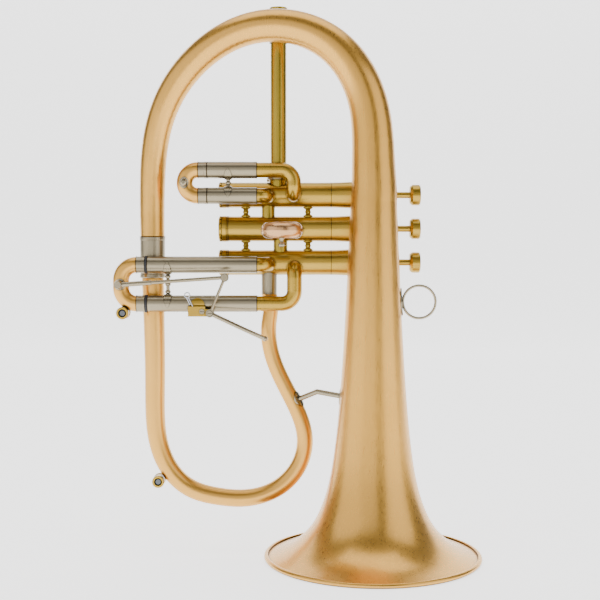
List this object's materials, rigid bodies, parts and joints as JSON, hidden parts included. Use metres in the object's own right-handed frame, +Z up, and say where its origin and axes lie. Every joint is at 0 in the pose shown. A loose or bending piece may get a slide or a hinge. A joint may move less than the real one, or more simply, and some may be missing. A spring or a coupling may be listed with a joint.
{
  "type": "flugelhorn",
  "caption": "Conical brass wind instrument with sprung piston valves, pull-out tuning slides, a linked trigger for the lowest slide, water keys and a wide flared bell.",
  "frame": {"origin": "on the floor under the middle of the bounding box, level with the bell rim", "axes": "+Z up along the bell axis to the mouthpiece receiver, +X towards the finger buttons, +Y away from the bell towards the valves"},
  "size_m": [0.272, 0.16, 0.407],
  "materials": {
    "gold_brass": "satin-brushed gold brass under clear lacquer",
    "yellow_brass": "satin yellow brass under clear lacquer",
    "red_brass": "satin red brass under clear lacquer",
    "nickel_silver": "satin nickel silver",
    "steel_wire": "bright drawn spring wire",
    "nickel_plate": "lapped nickel alloy",
    "rubber_ring": "matt black rubber",
    "felt": "pressed felt",
    "pearl": "polished mother-of-pearl look"
  },
  "bodies": {
    "horn": {"bell": "gold_brass", "bell_rim_wire": "gold_brass", "bell_ferrule": "nickel_silver", "lower_branch": "gold_brass", "valve_exit_ferrule": "nickel_silver", "casings": "yellow_brass", "balusters": "yellow_brass", "bottom_caps": "yellow_brass", "top_caps": "yellow_brass", "cap_felts": "felt", "valve_knuckles": "yellow_brass", "valve_posts": "yellow_brass", "leadpipe_sleeve": "yellow_brass", "leadpipe_clamp": "nickel_silver", "clamp_screw": "nickel_silver", "first_sleeves": "nickel_silver", "first_ports": "yellow_brass", "first_brace": "nickel_silver", "second_sleeves": "nickel_silver", "third_sleeves": "nickel_silver", "third_ports": "yellow_brass", "third_brace": "nickel_silver", "trigger_bracket": "yellow_brass", "trigger_screws": "nickel_silver", "trigger_spring": "steel_wire", "branch_key_housing": "nickel_silver", "finger_ring": "nickel_silver", "bell_brace": "nickel_silver", "valve_spring_1": "steel_wire", "valve_spring_2": "steel_wire", "valve_spring_3": "steel_wire"},
    "valve_1": {"piston_1": "nickel_plate", "button_1": "yellow_brass", "button_pearl_1": "pearl"},
    "valve_2": {"piston_2": "nickel_plate", "button_2": "yellow_brass", "button_pearl_2": "pearl"},
    "valve_3": {"piston_3": "nickel_plate", "button_3": "yellow_brass", "button_pearl_3": "pearl"},
    "leadpipe_slide": {"leadpipe": "yellow_brass", "mouthpiece_receiver": "yellow_brass"},
    "first_slide": {"first_legs": "nickel_silver", "first_crook": "gold_brass", "first_ferrules": "nickel_silver", "first_knob": "nickel_silver"},
    "second_slide": {"second_legs": "nickel_silver", "second_crook": "red_brass", "second_ferrules": "nickel_silver", "second_knob": "nickel_silver"},
    "third_slide": {"third_legs": "nickel_silver", "third_crook": "gold_brass", "third_ferrules": "nickel_silver", "third_bumpers": "rubber_ring", "rod_anchor": "nickel_silver", "crook_key_housing": "nickel_silver"},
    "push_rod": {"push_rod": "nickel_silver"},
    "crank": {"crank": "nickel_silver"},
    "branch_plunger": {"branch_key_plunger": "nickel_plate"},
    "crook_plunger": {"crook_key_plunger": "nickel_plate"}
  },
  "joints": [
    {"name": "valve_1_press", "type": "slide", "parent": "horn", "child": "valve_1", "axis": [-1, 0, 0], "range_m": [0, 0.016], "stiffness_N_per_m": 60, "springref_m": -0.03, "deforming": ["valve_spring_1"]},
    {"name": "valve_2_press", "type": "slide", "parent": "horn", "child": "valve_2", "axis": [-1, 0, 0], "range_m": [0, 0.016], "stiffness_N_per_m": 60, "springref_m": -0.03, "deforming": ["valve_spring_2"]},
    {"name": "valve_3_press", "type": "slide", "parent": "horn", "child": "valve_3", "axis": [-1, 0, 0], "range_m": [0, 0.016], "stiffness_N_per_m": 60, "springref_m": -0.03, "deforming": ["valve_spring_3"]},
    {"name": "leadpipe_tuning", "type": "slide", "parent": "horn", "child": "leadpipe_slide", "axis": [0, 0, 1], "range_m": [0, 0.008]},
    {"name": "first_slide_pull", "type": "slide", "parent": "horn", "child": "first_slide", "axis": [-1, 0, 0], "range_m": [0, 0.025]},
    {"name": "second_slide_pull", "type": "slide", "parent": "horn", "child": "second_slide", "axis": [0, -1, 0], "range_m": [0, 0.012]},
    {"name": "third_slide_pull", "type": "slide", "parent": "horn", "child": "third_slide", "axis": [-1, 0, 0], "range_m": [0, 0.0144], "stiffness_N_per_m": 70, "springref_m": -0.02},
    {"name": "crank_turn", "type": "hinge", "parent": "horn", "child": "crank", "pos_m": [-0.0635, 0.0019, 0.1805], "axis": [0, -1, 0], "range_deg": [0, 30]},
    {"name": "rod_swing", "type": "hinge", "parent": "third_slide", "child": "push_rod", "pos_m": [-0.1301, -0.0006, 0.20142], "axis": [0, -1, 0], "range_deg": [0, 2]},
    {"name": "branch_key_press", "type": "slide", "parent": "horn", "child": "branch_plunger", "axis": [0, 1, 0], "range_m": [0, 0.0025], "stiffness_N_per_m": 200, "springref_m": -0.003},
    {"name": "crook_key_press", "type": "slide", "parent": "third_slide", "child": "crook_plunger", "axis": [0, 1, 0], "range_m": [0, 0.0025], "stiffness_N_per_m": 200, "springref_m": -0.003}
  ],
  "couplings": [
    {"joint": "crank_turn", "follows": "third_slide_pull", "rad_per_m": 36.235},
    {"joint": "rod_swing", "follows": "third_slide_pull", "rad_per_m": 2.295}
  ]
}
